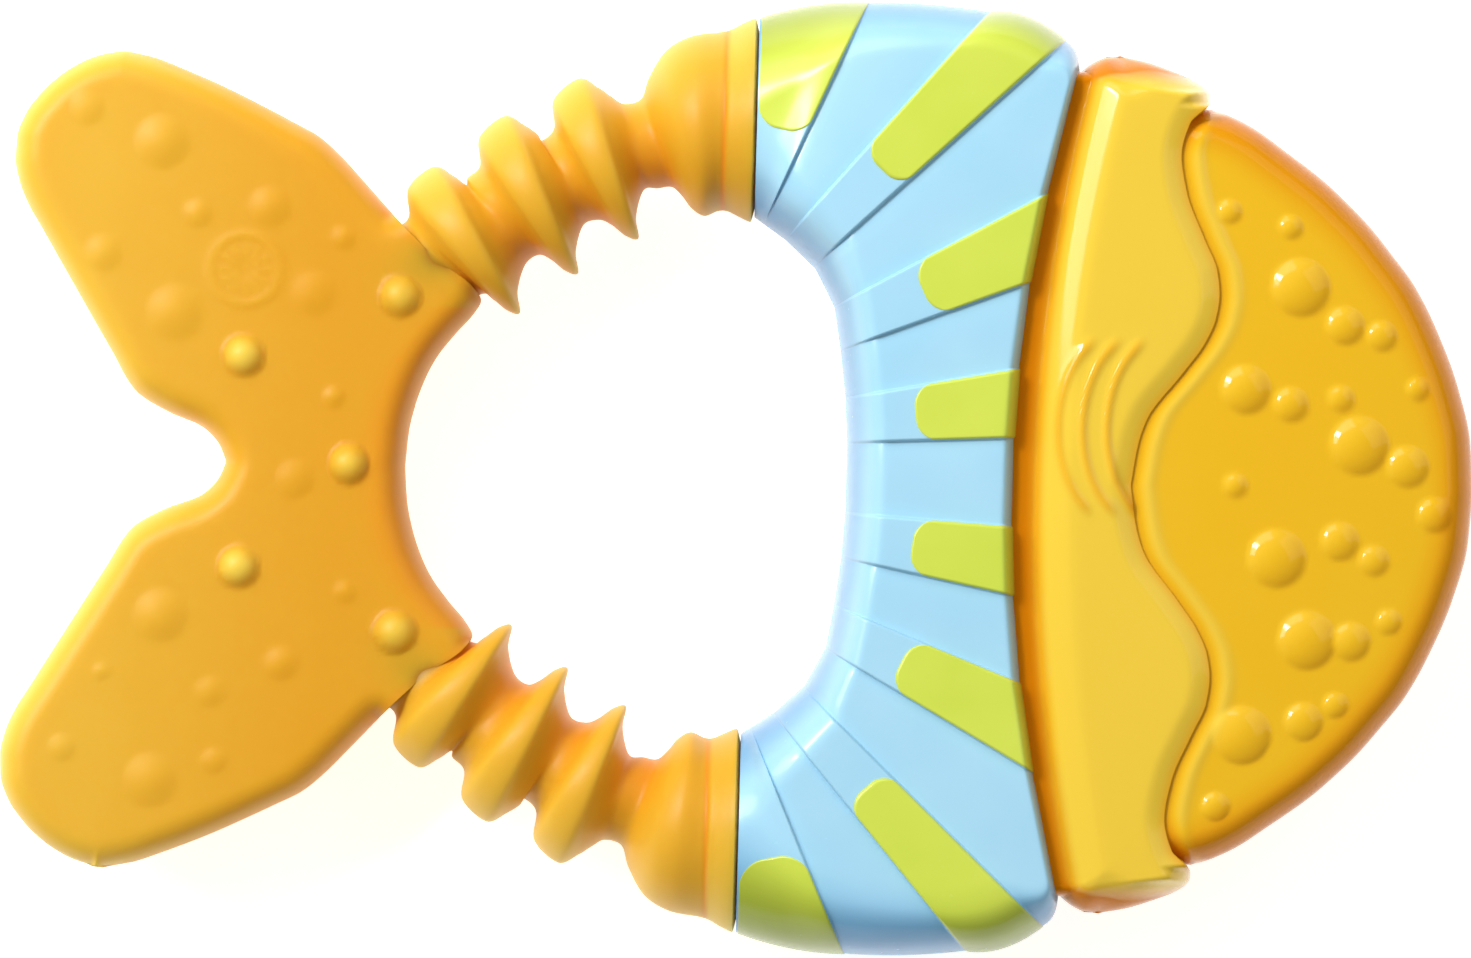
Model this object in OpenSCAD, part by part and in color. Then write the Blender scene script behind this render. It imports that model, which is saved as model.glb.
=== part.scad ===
// Fish teething ring: a hard C-shaped body with raised fan bands, a soft water-filled head and a
// soft tail on two ribbed arms. It lies on its back: +X to the nose, +Z up, Y = 0 is its middle.

/* [Overall] */

// Height of the parting plane, which is half the thickness of the ring
mid_z = 11; // [9:0.1:13]
// X of the nose and, negated, of the tail tips
half_length = 64; // [55:0.5:75]
// Y of the outside of the ring, where the body is widest
half_width = 41.6; // [36:0.1:48]

/* [Blue body] */

// X of the flat end faces of the body's two arms
body_end_x = 0.8; // [0:0.1:3]
// Y of the centre of an end face
end_y = 31.3; // [29:0.1:34]
// Radius of the body at its end faces
end_r = 8.75; // [7:0.05:10]
// How far a fan band stands above the gaps between bands
band_rise = 0.4; // [0.2:0.05:1]
// Wall of the blue half shells
body_wall = 2.2; // [1.6:0.1:3]
// Rounding of the body's long edges
body_edge = 6; // [3:0.25:8]
// Depth of the green stripes in the blue shell
stripe_depth = 0.9; // [0.5:0.05:1.4]
// Fit between a stripe and its pocket
stripe_fit = 0.05; // [0.02:0.01:0.15]

/* [Body pins] */

// Radius of the four closing pins
pin_r = 1.8; // [1.2:0.1:2.5]
// Clearance of a pin in its socket and in the head's tongue
pin_fit = 0.1; // [0.05:0.01:0.3]
// Radius of the bosses that carry the pins and sockets
boss_r = 3.3; // [2.8:0.1:4]
// How far a pin stands above the parting plane
pin_reach = 5; // [3:0.5:7]

/* [Head] */

// X of the head's edge against the body, on the middle line
head_start_x = 24.8; // [22:0.1:28]
// Half the thickness of the head's face; its band is as thick as the body
face_half = 9.6; // [8:0.1:11]
// Rounding of the head's edge
head_edge = 5; // [3:0.25:7]
// Share of the head's plan that the water fill takes
water_plan = 0.9; // [0.85:0.005:0.93]
// Share of the head's height that the water fill takes
water_height = 0.8; // [0.7:0.01:0.85]
// Height of the tallest scale bumps on the face
bump_rise = 1; // [0.5:0.1:1.3]

/* [Tongue] */

// Thickness of the head's tongue, which the body's pins go through
tongue_t = 3.2; // [2:0.1:4]
// Half the width of the tongue
tongue_half = 13; // [11:0.5:15]
// X of the tongue's free end
tongue_x = 13.8; // [13:0.1:14]
// Gap between the tongue and the slot in the body
tongue_gap = 0.3; // [0.15:0.05:0.5]

/* [Tail] */

// Thickness of the tail fin
fin_t = 9; // [6:0.25:12]
// Rounding of the fin's edge
fin_edge = 4; // [2:0.25:5]
// Radius of the soft arms' core between the ribs
core_r = 4.15; // [3:0.05:5]
// Radius of the ribs
rib_r = 7.5; // [6:0.05:8.5]
// Length of the neck where an arm bends
neck_l = 1.6; // [1:0.1:1.6]

/* [Cup and anchor] */

// Radius of the bell of a cup
bell_r = 8; // [7:0.05:9]
// Radius of the collar at the body's end face
collar_r = 8.8; // [7.5:0.05:9.5]
// Radius of the anchor's stem
stem_r = 3; // [2:0.1:4]
// Radius of the anchor's barb and flange
flange_r = 5.4; // [4:0.1:6]
// Fit between the anchor and what it goes through
anchor_fit = 0.1; // [0.05:0.01:0.3]

/* [Hidden] */

$fn = 48;
tiny = 0.01;
// Scales the tabled outline, drawn for a half length of 64 and a half width of 41.6.
sx = half_length / 64;
sy = half_width / 41.6;
edge_h = 0.7;
gap_h = mid_z - band_rise;

// The body's fan lines, outer end and inner end, from the end face to the middle.
fan = [
    [[0.8, 40.0], [0.8, 22.6]],
    [[10.5, 41.6], [1.7, 22.0]],
    [[20.9, 41.05], [3.6, 20.7]],
    [[28.1, 38.5], [6.2, 18.3]],
    [[28.8, 35.4], [6.6, 17.6]],
    [[26.7, 25.5], [8.0, 14.9]],
    [[25.4, 17.4], [8.65, 11.0]],
    [[24.7, 10.1], [9.15, 7.0]],
    [[24.4, 3.7], [9.4, 2.95]]
];
// How far the outer edge bows out between one fan line and the next.
fan_bow = [0.45, 0.25, 0.85, 0.15, 0, 0, 0, 0];
// The fan lines at which the raised bands start; each ends at the next line.
band_starts = [0, 2, 5, 7];
// How far each stripe reaches from the outer edge, as a share of the band's length.
stripe_reach = [0.6, 0.66, 0.6, 0.62, 0.62, 0.66, 0.66, 0.44];
// A band's steps and its stripe's edges, as shares of the band's width.
step_share = 0.05;
stripe_share = 0.1;

anchor_y = end_y * sy;
end_x = body_end_x * sx;
wall_x = end_x + body_wall;

pin_spots = [[9.5 * sx, 32 * sy], [17 * sx, 8.5 * sy]];

// Points of the upper arm's axis, from inside the fin to the bell.
root_in = [-32, 14.4];
rib_a = [-23.6, 20.2];
rib_b = [-17.9, 24.1];
rib_c = [-12.1, 27.4];
bell_in = [-8.8, 28.75];
bell = [-3, 30.6];
// Where the root is thickest, as a share of its length.
root_share = 0.56;

// [y, x] of the fin's two edges, of the head's two edges and of the head's wave line.
fin_left = [
    [0, -44.85], [1.5, -45.5], [3, -47], [4.2, -50], [6, -53], [9.4, -55.1], [20, -61.5], [22, -62.75],
    [24, -63.75], [26, -64], [28, -63.8], [30, -63.15], [32, -61.9], [33.5, -60.4], [34.6, -58.8],
    [35.4, -56.7], [35.7, -54.5]
];
fin_right = [
    [0, -29.2], [3, -28.95], [5.5, -28.4], [8, -27.5], [9.7, -26.6], [11.8, -25], [13.4, -23.9],
    [22, -30.65], [26.2, -34.7], [28.7, -37.5], [30.9, -41.5], [32.7, -45.5], [34.3, -49.6],
    [35.4, -52.2], [35.7, -54.5]
];
fin_rows = [0, 1.5, 3, 4.2, 6, 8, 10, 12, 13.4, 16, 19, 22, 24, 26, 28, 30, 32, 33.5, 34.6, 35.4];
root_face = [13.4, 22];
head_right = [
    [0, 64], [4.5, 63.7], [9.3, 62.5], [14.4, 60.5], [18.1, 58.5], [20.7, 56.5], [23.1, 54.5],
    [26.8, 50.5], [29.8, 46.5], [32.2, 42.5], [33, 41], [33.6, 40.5], [34.6, 40], [35.55, 38.5],
    [36.3, 36.5], [37.1, 34.5], [37.4, 33.4]
];
head_corner = [[35.2, 0], [36.2, 0.2], [37, 1.1], [37.4, 2.1]];
head_rows = [0, 3, 5.8, 8.5, 11, 13.5, 16.5, 19.5, 22.5, 25.3, 28, 30, 31.5, 32.6, 33.5, 34.6, 35.8, 36.7, 37.3];
wave = [
    [0, 33.8], [3.5, 34.4], [5.8, 35], [9.7, 38], [12.4, 40], [16.5, 41], [21.4, 39.5], [25.3, 38],
    [28.6, 37.5], [31.3, 38], [33.5, 39.2], [37.4, 45]
];
head_centre_x = 44 * sx;

// [x, y, diameter] of the bumps.
face_bumps = [
    [41.7, 23.8, 2.1], [47, 22.6, 2.1], [48, 17.4, 5], [51.9, 14.2, 3.3], [55.1, 13.4, 2.6],
    [43.5, 8.5, 4.2], [47.4, 7.3, 3], [51.7, 7.9, 2.3], [58.3, 8.9, 2], [53.4, 3.9, 5], [57.6, 2.2, 3.6],
    [42.8, 0.2, 2.1], [60, -1.9, 3], [51.9, -4.4, 3.3], [46.5, -6, 5], [54.9, -6, 2.6], [49.3, -13, 5],
    [53.1, -13, 3.3], [56.3, -11.2, 2.2], [43.9, -21.3, 5], [49.2, -20, 3.3], [51.9, -18.5, 2.2],
    [41.8, -27.5, 2.5]
];
fin_bumps = [
    [-43.3, 9.3, 3.2], [-33.9, 0.1, 3.1], [-43.3, -9.1, 3.2], [-50.9, 27.7, 4.8], [-57.5, 30.5, 3],
    [-47.6, 21.6, 2.5], [-41.4, 22.3, 3.6], [-34.9, 19.8, 2.2], [-55.8, 17.9, 3.3], [-49.4, 12.9, 5.2],
    [-37.4, 14.9, 4], [-38.6, -1.3, 3.5], [-50, -13.5, 5], [-39.4, -17.4, 3], [-45.5, -20, 2.7],
    [-58.3, -25.2, 2.5], [-50.5, -27.8, 5], [-45, -26, 2.3]
];

body_blue = "#ABDDF3";
stripe_green = "#D6E35C";
head_yellow = "#F0BB22";
band_yellow = "#F2CD45";
tail_amber = "#EDB53A";
rib_orange = "#E8A62C";
water_clear = "#F6DDA0";
anchor_white = "#F2F2EE";

function lerp(a, b, t) = a + (b - a) * t;
function plan(p) = [p[0] * sx, p[1] * sy];
function along(p, q) = atan2(q[1] - p[1], q[0] - p[0]);
function flip(p) = [p[0], -p[1]];
function backwards(list) = [for (k = [len(list) - 1:-1:0]) list[k]];
// A quarter-ellipse edge: 0 at the edge, 1 from `radius` inwards.
function rounded(d, radius) = sqrt(1 - pow(1 - min(max(d, 0) / radius, 1), 2));

// ---- the blue body ----

// A place on the fan is a real number: 0 to 8 is the upper half, and 17 less a place is its mirror.
function fan_last() = len(fan) - 1;
function is_lower(u) = u > fan_last() + 0.5;
function folded(u) = is_lower(u) ? 2 * fan_last() + 1 - u : u;
function fan_end(k, f, side) = lerp(fan[k][side], fan[min(k + 1, fan_last())][side], f);
function fan_bulge(k, f) = k < len(fan_bow) ? 4 * f * (1 - f) * fan_bow[k] : 0;
function fan_point(u, side) =
    let (v = folded(u), k = min(floor(v), fan_last()), f = v - k)
    let (p = fan_end(k, f, side) + (side == 0 ? [0, fan_bulge(k, f)] : [0, 0]))
    plan(is_lower(u) ? flip(p) : p);
function fan_half(u) = lookup(folded(u), [[0, end_r], [0.5, gap_h - 1.3], [1, gap_h - 0.5], [2, gap_h]]);
function fan_edge(u) = lookup(folded(u), [[0, end_r], [0.5, 8], [1, 7], [2, body_edge]]);

function band_range(b) =
    b < 4 ? [band_starts[b], band_starts[b] + 1]
    : [2 * fan_last() - band_starts[7 - b], 2 * fan_last() + 1 - band_starts[7 - b]];

// One station of the loft: [place, level, pocketed, reach].
function band_stations(b) =
    let (r = band_range(b), reach = stripe_reach[b], e = step_share, s = stripe_share)
    [
        for (f = [
            [b == 0 ? 0 : e, 0, 1], [s, 0, 0.94], [s + 0.02, 1, 0.94], [0.28, 1, 1], [0.5, 1, 1.012],
            [0.72, 1, 1], [1 - s - 0.02, 1, 0.94], [1 - s, 0, 0.94], [b == 7 ? 1 : 1 - e, 0, 1]
        ]) [lerp(r[0], r[1], f[0]), 1, f[1], reach * f[2]]
    ];
function gap_stations(a, b, reach) = [for (f = [0, 0.5, 1]) [lerp(a, b, f), 0, 0, reach]];
function gap_after(b) =
    b == 1 ? concat([[3, 0, 0, 0.65], [3.5, 0, 0, 0.65]], gap_stations(4, 5, 0.62))
    : b == 3 ? [for (u = [8, 9]) [u, 0, 0, 0.62]]
    : b == 5 ? concat(gap_stations(12, 13, 0.62), [[13.5, 0, 0, 0.65], [14, 0, 0, 0.65]])
    : gap_stations(band_range(b)[1], band_range(b + 1)[0], stripe_reach[b]);
stations = [for (b = [0:7]) each concat(band_stations(b), b < 7 ? gap_after(b) : [])];

// Shares of the width at which the loft has points. Two of them follow the stripe's inner end.
function columns(reach) =
    [0, 0.02, 0.05, 0.1, 0.17, 0.26, 0.4, reach - 0.012, reach, 0.78, 0.86, 0.92, 0.96, 0.985, 1];
pocket_columns = 7;

function body_height(u, level, s, width) =
    let (d = min(s, 1 - s) * width)
    edge_h + (fan_half(u) + level * band_rise - edge_h) * rounded(d, min(fan_edge(u), width / 2));

// A row across the body. Drop lowers its pocketed part and pulls the outer edge in.
function body_row(st, drop) =
    let (u = st[0], o = fan_point(u, 0), i = fan_point(u, 1), w = norm(i - o), n = (i - o) / w)
    [
        for (k = [0:len(columns(0.5)) - 1])
            let (s = columns(st[3])[k], down = k <= pocket_columns ? drop : 0)
            let (p = o + n * (s * w + (k == 0 ? down / 2 : 0)), h = body_height(u, st[1], s, w))
            [p[0], p[1], max(edge_h - min(down, 0.1), h - down)]
    ];

// A row of the space inside a shell, one wall in from its skin and from its end faces.
cavity_shares = [0, 0.06, 0.2, 0.5, 0.8, 0.94, 1];
function cavity_row(u) =
    let (o = fan_point(u, 0), i = fan_point(u, 1), w = norm(i - o), n = (i - o) / w)
    [
        for (s = cavity_shares)
            let (d = body_wall + s * (w - 2 * body_wall), p = o + n * d)
            [max(p[0], wall_x + folded(u) / 2), p[1], body_height(u, 0, d / w, w) - body_wall]
    ];

// The triangles over rows of n points, the first of which is point `base`.
function sheet(m, n, base) = [
    for (a = [0:m - 2]) for (b = [0:n - 2])
        let (p = base + a * n + b)
        each [[p, p + 1, p + n], [p + 1, p + n + 1, p + n]]
];
function turned(faces) = [for (f = faces) backwards(f)];
// The same rows mirrored in the parting plane.
function below(rows) = [for (r = rows) [for (p = r) [p[0], p[1], -p[2]]]];
function feet(rows) = [for (r = rows) each [[r[0][0], r[0][1], 0], [r[len(r) - 1][0], r[len(r) - 1][1], 0]]];

// A hollow half: rows of its skin over rows of the space inside it, joined by a flat rim.
module hollow_loft(skin, space) {
    m = len(skin);
    n = len(skin[0]);
    k = len(space[0]);
    base = m * n;
    foot = base + m * k;
    inner_foot = foot + 2 * m;
    function wall(top, n, low) = [
        for (a = [0:m - 2])
            each [
                [low + 2 * a, top + a * n, top + (a + 1) * n, low + 2 * a + 2],
                [low + 2 * a + 3, top + (a + 1) * n + n - 1, top + a * n + n - 1, low + 2 * a + 1]
            ]
    ];
    function ends(top, n, low) = [
        concat([low + 1], [for (b = [n - 1:-1:0]) top + b], [low]),
        concat([low + 2 * m - 2], [for (b = [0:n - 1]) top + (m - 1) * n + b], [low + 2 * m - 1])
    ];
    rim = concat(
        [for (a = [0:m - 2])
            each let (f = foot + 2 * a, g = inner_foot + 2 * a)
            [[g, f, f + 2, g + 2], [f + 1, g + 1, g + 3, f + 3]]],
        [[foot + 1, foot, inner_foot, inner_foot + 1]],
        [[inner_foot - 2, inner_foot - 1, inner_foot + 2 * m - 1, inner_foot + 2 * m - 2]]
    );
    polyhedron(
        concat([for (r = skin) each r], [for (r = space) each r], feet(skin), feet(space)),
        concat(
            sheet(m, n, 0), wall(0, n, foot), ends(0, n, foot), rim,
            turned(concat(sheet(m, k, base), wall(base, k, inner_foot), ends(base, k, inner_foot)))
        ),
        convexity = 8
    );
}

// Closes rows of [x, y, height] over the parting plane. Each row is straight in plan.
module loft(rows) {
    n = len(rows[0]);
    m = len(rows);
    low = m * n;
    sides = [
        for (a = [0:m - 2])
            each [
                [low + 2 * a, a * n, (a + 1) * n, low + 2 * a + 2],
                [low + 2 * a + 3, (a + 1) * n + n - 1, a * n + n - 1, low + 2 * a + 1],
                [low + 2 * a + 1, low + 2 * a, low + 2 * a + 2, low + 2 * a + 3]
            ]
    ];
    ends = [
        concat([low + 1], [for (b = [n - 1:-1:0]) b], [low]),
        concat([low + 2 * m - 2], [for (b = [0:n - 1]) (m - 1) * n + b], [low + 2 * m - 1])
    ];
    polyhedron(concat([for (r = rows) each r], feet(rows)), concat(sheet(m, n, 0), sides, ends), convexity = 8);
}

// A closed strip between two sets of rows with the same plan and different heights.
module strip(above, below) {
    n = len(above[0]);
    m = len(above);
    low = m * n;
    // The wall under an edge of the sheet, given as points in the order of a clockwise walk.
    function under(walk) = [
        for (k = [0:len(walk) - 2])
            each [[walk[k], low + walk[k], low + walk[k + 1]], [walk[k], low + walk[k + 1], walk[k + 1]]]
    ];
    walk = concat(
        [for (b = [0:n - 1]) b],
        [for (a = [1:m - 1]) a * n + n - 1],
        [for (b = [n - 2:-1:0]) (m - 1) * n + b],
        [for (a = [m - 2:-1:0]) a * n]
    );
    polyhedron(
        concat([for (r = above) each r], [for (r = below) each r]),
        concat(sheet(m, n, 0), turned(sheet(m, n, low)), under(walk)),
        convexity = 4
    );
}

// Turns a half that stands on the parting plane into the front half or, mirrored, the back half.
module on_side(front) {
    translate([0, 0, mid_z])
        mirror([0, 0, front ? 0 : 1]) children();
}

module both_ends() {
    for (side = [0, 1]) mirror([0, side, 0]) children();
}

module body_half() {
    difference() {
        hollow_loft(
            backwards([for (st = stations) body_row(st, st[2] * (stripe_depth + stripe_fit))]),
            backwards([for (st = stations) cavity_row(st[0])])
        );
        both_ends()
            translate([end_x - 1, anchor_y, 0])
                rotate([0, 90, 0]) cylinder(h = body_wall + 3, r = stem_r + anchor_fit);
        tongue_slot();
    }
}

// The room for the head's tongue, which runs out past the body's edge.
module tongue_slot() {
    translate([tongue_x - tongue_gap, -tongue_half - tongue_gap, -1])
        cube([head_start_x * sx - tongue_x + 2, 2 * (tongue_half + tongue_gap), 1 + tongue_t / 2 + tongue_gap]);
}

// The height at which a boss starts: above the parting plane where the tongue passes.
function boss_foot(p) = abs(p[1]) < tongue_half ? tongue_t / 2 + tongue_gap : 0;

module bosses(hole_r) {
    both_ends()
        for (p = pin_spots)
            translate([p[0], p[1], boss_foot(p)])
                difference() {
                    cylinder(h = mid_z - body_wall - boss_foot(p), r = boss_r);
                    translate([0, 0, -tiny]) cylinder(h = pin_reach + 1 - boss_foot(p), r = hole_r);
                }
}

module body_front_shell() {
    color(body_blue)
        on_side(true) {
            body_half();
            bosses(pin_r + pin_fit);
        }
}

module body_back_shell() {
    color(body_blue) {
        on_side(false) {
            body_half();
            bosses(pin_r - tiny);
        }
        both_ends()
            for (p = pin_spots)
                translate([p[0], p[1], mid_z - pin_reach - 1]) cylinder(h = 2 * pin_reach + 1, r = pin_r);
    }
}

// One green stripe: band b's pocket, filled flush with the band.
module stripe(b, front) {
    inside = backwards([for (st = band_stations(b)) if (st[2] == 1) st]);
    function kept(row) = [for (k = [0:pocket_columns]) row[k]];
    face = [for (st = inside) kept(body_row(st, 0))];
    floor = [for (st = inside) kept(body_row(st, stripe_depth))];
    color(stripe_green)
        on_side(front)
            if (b == 3 || b == 4) {
                difference() {
                    strip(face, floor);
                    tongue_slot();
                }
            } else {
                strip(face, floor);
            }
}

// ---- the head ----

function wall_of(table, y) = lookup(abs(y), table);
function head_left_x(y) = head_start_x + y * y / 304 + lookup(abs(y), head_corner);
function mirrored(list) = concat([for (k = [len(list) - 1:-1:1]) -list[k]], list);
function segment_distance(p, a, b) =
    let (t = max(0, min(1, (p - a) * (b - a) / ((b - a) * (b - a)))))
    norm(p - a - (b - a) * t);
function edge_distance(p, edges) = min([for (e = edges) segment_distance(p, e[0], e[1])]);
function side_edges(ys, xs) = [for (k = [0:len(ys) - 2]) [[xs[k], ys[k]], [xs[k + 1], ys[k + 1]]]];

head_ys = mirrored(head_rows);
head_edges = concat(
    side_edges(head_ys, [for (y = head_ys) head_left_x(y)]),
    side_edges(head_ys, [for (y = head_ys) wall_of(head_right, y)]),
    [for (k = [0, len(head_ys) - 1])
        [[head_left_x(head_ys[k]), head_ys[k]], [wall_of(head_right, head_ys[k]), head_ys[k]]]]
);
// Shares of the gill band's width, then of the face's length, at which the head has points.
band_shares = [0, 0.06, 0.16, 0.32, 0.6, 1];
face_shares = [0.03, 0.2, 0.45, 0.7, 0.84, 0.93, 0.98, 1];

function head_row(y) =
    let (a = head_left_x(y), c = wall_of(head_right, y), w = min(wall_of(wave, y), c - 0.6))
    [
        for (s = band_shares) head_point([lerp(a, w, s), y], mid_z),
        for (s = face_shares) head_point([lerp(w, c, s), y], y > -33.2 && y < 33.2 ? face_half : mid_z)
    ];
function head_point(p, half) =
    let (h = edge_h + (half - edge_h) * rounded(edge_distance(p, head_edges), head_edge))
    [p[0] * sx, p[1] * sy, h];

// The head's rows, drawn smaller about its own middle for the space inside.
function head_skin(plan_share, height_share) = backwards([
    for (y = head_ys)
        [for (p = head_row(y)) [lerp(head_centre_x, p[0], plan_share), p[1] * plan_share, p[2] * height_share]]
]);

module bumps(list, foot, rise) {
    for (b = list)
        translate([b[0] * sx, b[1] * sy, foot - 1])
            cylinder(h = 1 + rise * min(1, b[2] / 4), r1 = b[2] / 2 + 0.3, r2 = b[2] / 5);
}

module tongue_half_plate() {
    linear_extrude(tongue_t / 2)
        difference() {
            translate([tongue_x, -tongue_half]) square([head_start_x * sx - tongue_x + 2, 2 * tongue_half]);
            for (side = [-1, 1])
                translate([pin_spots[1][0], side * pin_spots[1][1]]) circle(r = pin_r + pin_fit);
        }
}

module head_shell(front) {
    color(head_yellow)
        on_side(front) {
            difference() {
                union() {
                    loft(head_skin(1, 1));
                    bumps(face_bumps, face_half, bump_rise);
                    tongue_half_plate();
                }
                translate([0, 0, -tiny]) loft(head_skin(water_plan, water_height));
            }
        }
}

module head_water() {
    space = head_skin(water_plan - 0.005, water_height - 0.01);
    color(water_clear) on_side(true) strip(space, below(space));
}

// ---- the tail ----

fin_ys = mirrored(fin_rows);
function on_root_face(k) = min(abs(fin_ys[k]), abs(fin_ys[k + 1])) >= root_face[0]
    && max(abs(fin_ys[k]), abs(fin_ys[k + 1])) <= root_face[1];
fin_right_edges = side_edges(fin_ys, [for (y = fin_ys) wall_of(fin_right, y)]);
fin_edges = concat(
    side_edges(fin_ys, [for (y = fin_ys) wall_of(fin_left, y)]),
    [for (k = [0:len(fin_right_edges) - 1]) if (!on_root_face(k)) fin_right_edges[k]],
    [for (y = [fin_ys[0], fin_ys[len(fin_ys) - 1]]) [[wall_of(fin_left, y), y], [wall_of(fin_right, y), y]]]
);
fin_shares = [0, 0.04, 0.1, 0.2, 0.35, 0.5, 0.65, 0.8, 0.9, 0.96, 1];

function fin_row(y) = [
    for (s = fin_shares)
        let (p = [lerp(wall_of(fin_left, y), wall_of(fin_right, y), s), y])
        let (h = edge_h + (fin_t / 2 - edge_h) * rounded(edge_distance(p, fin_edges), fin_edge))
        [p[0] * sx, p[1] * sy, h]
];

module tail_fin() {
    skin = backwards([for (y = fin_ys) fin_row(y)]);
    color(tail_amber)
        difference() {
            union() {
                on_side(true) strip(skin, below(skin));
                for (front = [true, false])
                    on_side(front) bumps(fin_bumps, fin_t / 2, bump_rise * 0.8);
            }
            both_ends() arm_root();
        }
}

// Puts a shape drawn along +Z onto the arm: from p, pointing at q.
module aim(p, q) {
    a = plan(p);
    translate([a[0], a[1], mid_z]) rotate([0, 90, along(a, plan(q))]) children();
}

module rib(p, angle) {
    a = plan(p);
    translate([a[0], a[1], mid_z])
        rotate([0, 90, angle])
            rotate_extrude()
                polygon([
                    [0, -2], [core_r - 0.3, -2], [rib_r - 1.4, -1.3], [rib_r - 0.4, -1], [rib_r, -0.4],
                    [rib_r, 0.3], [rib_r - 0.5, 0.9], [core_r - 0.3, 2], [0, 2]
                ]);
}

// The arm's thick root, which runs from inside the fin to the first rib.
module arm_root() {
    run = norm(plan(rib_a) - plan(root_in));
    aim(root_in, rib_a)
        rotate_extrude()
            polygon([[0, 0], [core_r - 0.4, 0], [core_r + 1, run * root_share], [core_r, run - 0.5], [0, run - 0.5]]);
}

// A stretch of core between two ribs, which ends inside their discs.
module core_run(p, q, start, end) {
    aim(p, q)
        translate([0, 0, start]) cylinder(h = norm(plan(q) - plan(p)) - start - end, r = core_r);
}

neck_run = norm(plan(rib_c) - plan(rib_b));
// How far a rib's foot reaches along the core.
rib_foot = 2.5;
neck_start = max((neck_run - neck_l) / 2, rib_foot);

module arm_ribs() {
    arm_root();
    rib(rib_a, 32);
    core_run(rib_a, rib_b, 0.5, 0.5);
    rib(rib_b, 28);
    core_run(rib_b, rib_c, 0.5, neck_run - neck_start);
}

module arm_neck() {
    core_run(rib_b, rib_c, neck_start, neck_start);
}

module arm_cup() {
    difference() {
        union() {
            core_run(rib_b, rib_c, neck_run - neck_start, 0.5);
            rib(rib_c, 23);
            core_run(rib_c, bell_in, 0.5, 0);
            translate([bell[0] * sx, bell[1] * sy, mid_z])
                rotate([0, 90, 10])
                    rotate_extrude()
                        polygon([
                            [0, -6.6], [core_r - 0.4, -6.6], [core_r + 1.7, -5.9], [bell_r - 0.8, -4.6],
                            [bell_r - 0.1, -3], [bell_r, -0.5], [bell_r - 0.3, 1.5], [0, 1.5]
                        ]);
            translate([end_x, anchor_y, mid_z])
                rotate([0, -90, 0])
                    rotate_extrude()
                        polygon([
                            [0, 0.2], [collar_r, 0.2], [collar_r, 0.9], [collar_r - 0.5, 2.4],
                            [collar_r - 1.1, 2.8], [bell_r - 1, 4], [0, 4]
                        ]);
        }
        translate([end_x, anchor_y, mid_z])
            rotate([0, -90, 0])
                rotate_extrude() polygon(anchor_profile(anchor_fit));
    }
}

// The anchor's outline in the cup, as [radius, depth into the cup].
function anchor_profile(fit) = [
    [0, -tiny], [stem_r + fit, -tiny], [stem_r + fit, 3], [flange_r - 1 + fit, 3.2 - fit],
    [flange_r - 1 + fit, 4.2], [stem_r - 1 + fit, 6.4 + fit], [0, 6.4 + fit]
];

module arm_anchor() {
    translate([end_x, anchor_y, mid_z])
        rotate([0, -90, 0])
            rotate_extrude() polygon(anchor_profile(0));
    translate([end_x - tiny, anchor_y, mid_z])
        rotate([0, 90, 0]) cylinder(h = body_wall + 0.6, r = stem_r);
    translate([wall_x + 0.1, anchor_y, mid_z])
        rotate([0, 90, 0]) cylinder(h = 2.2, r = flange_r);
}

module upper_arm_ribs() {
    color(rib_orange) arm_ribs();
}

module lower_arm_ribs() {
    color(rib_orange) mirror([0, 1, 0]) arm_ribs();
}

module upper_arm_neck() {
    color(tail_amber) arm_neck();
}

module lower_arm_neck() {
    color(tail_amber) mirror([0, 1, 0]) arm_neck();
}

module upper_arm_cup() {
    color(rib_orange) arm_cup();
}

module lower_arm_cup() {
    color(rib_orange) mirror([0, 1, 0]) arm_cup();
}

module upper_arm_anchor() {
    color(anchor_white) arm_anchor();
}

module lower_arm_anchor() {
    color(anchor_white) mirror([0, 1, 0]) arm_anchor();
}

body_front_shell();
body_back_shell();
stripe(0, true);  // front_stripe_1
stripe(1, true);  // front_stripe_2
stripe(2, true);  // front_stripe_3
stripe(3, true);  // front_stripe_4
stripe(4, true);  // front_stripe_5
stripe(5, true);  // front_stripe_6
stripe(6, true);  // front_stripe_7
stripe(7, true);  // front_stripe_8
stripe(0, false);  // back_stripe_1
stripe(1, false);  // back_stripe_2
stripe(2, false);  // back_stripe_3
stripe(3, false);  // back_stripe_4
stripe(4, false);  // back_stripe_5
stripe(5, false);  // back_stripe_6
stripe(6, false);  // back_stripe_7
stripe(7, false);  // back_stripe_8
head_shell(true);  // head_front_shell
head_shell(false);  // head_back_shell
head_water();
tail_fin();
upper_arm_ribs();
lower_arm_ribs();
upper_arm_neck();
lower_arm_neck();
upper_arm_cup();
lower_arm_cup();
upper_arm_anchor();
lower_arm_anchor();
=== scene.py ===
"""Looks of a fish teething ring: a glossy two-tone hard body, a soft water-filled head with scale bumps,
and a satin soft tail on two ribbed arms, lying on a pale table under soft studio light."""

import math

import bmesh
import bpy
import numpy as np
from bpy.props import FloatProperty, FloatVectorProperty, PointerProperty
from mathutils import Matrix, Vector


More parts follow.
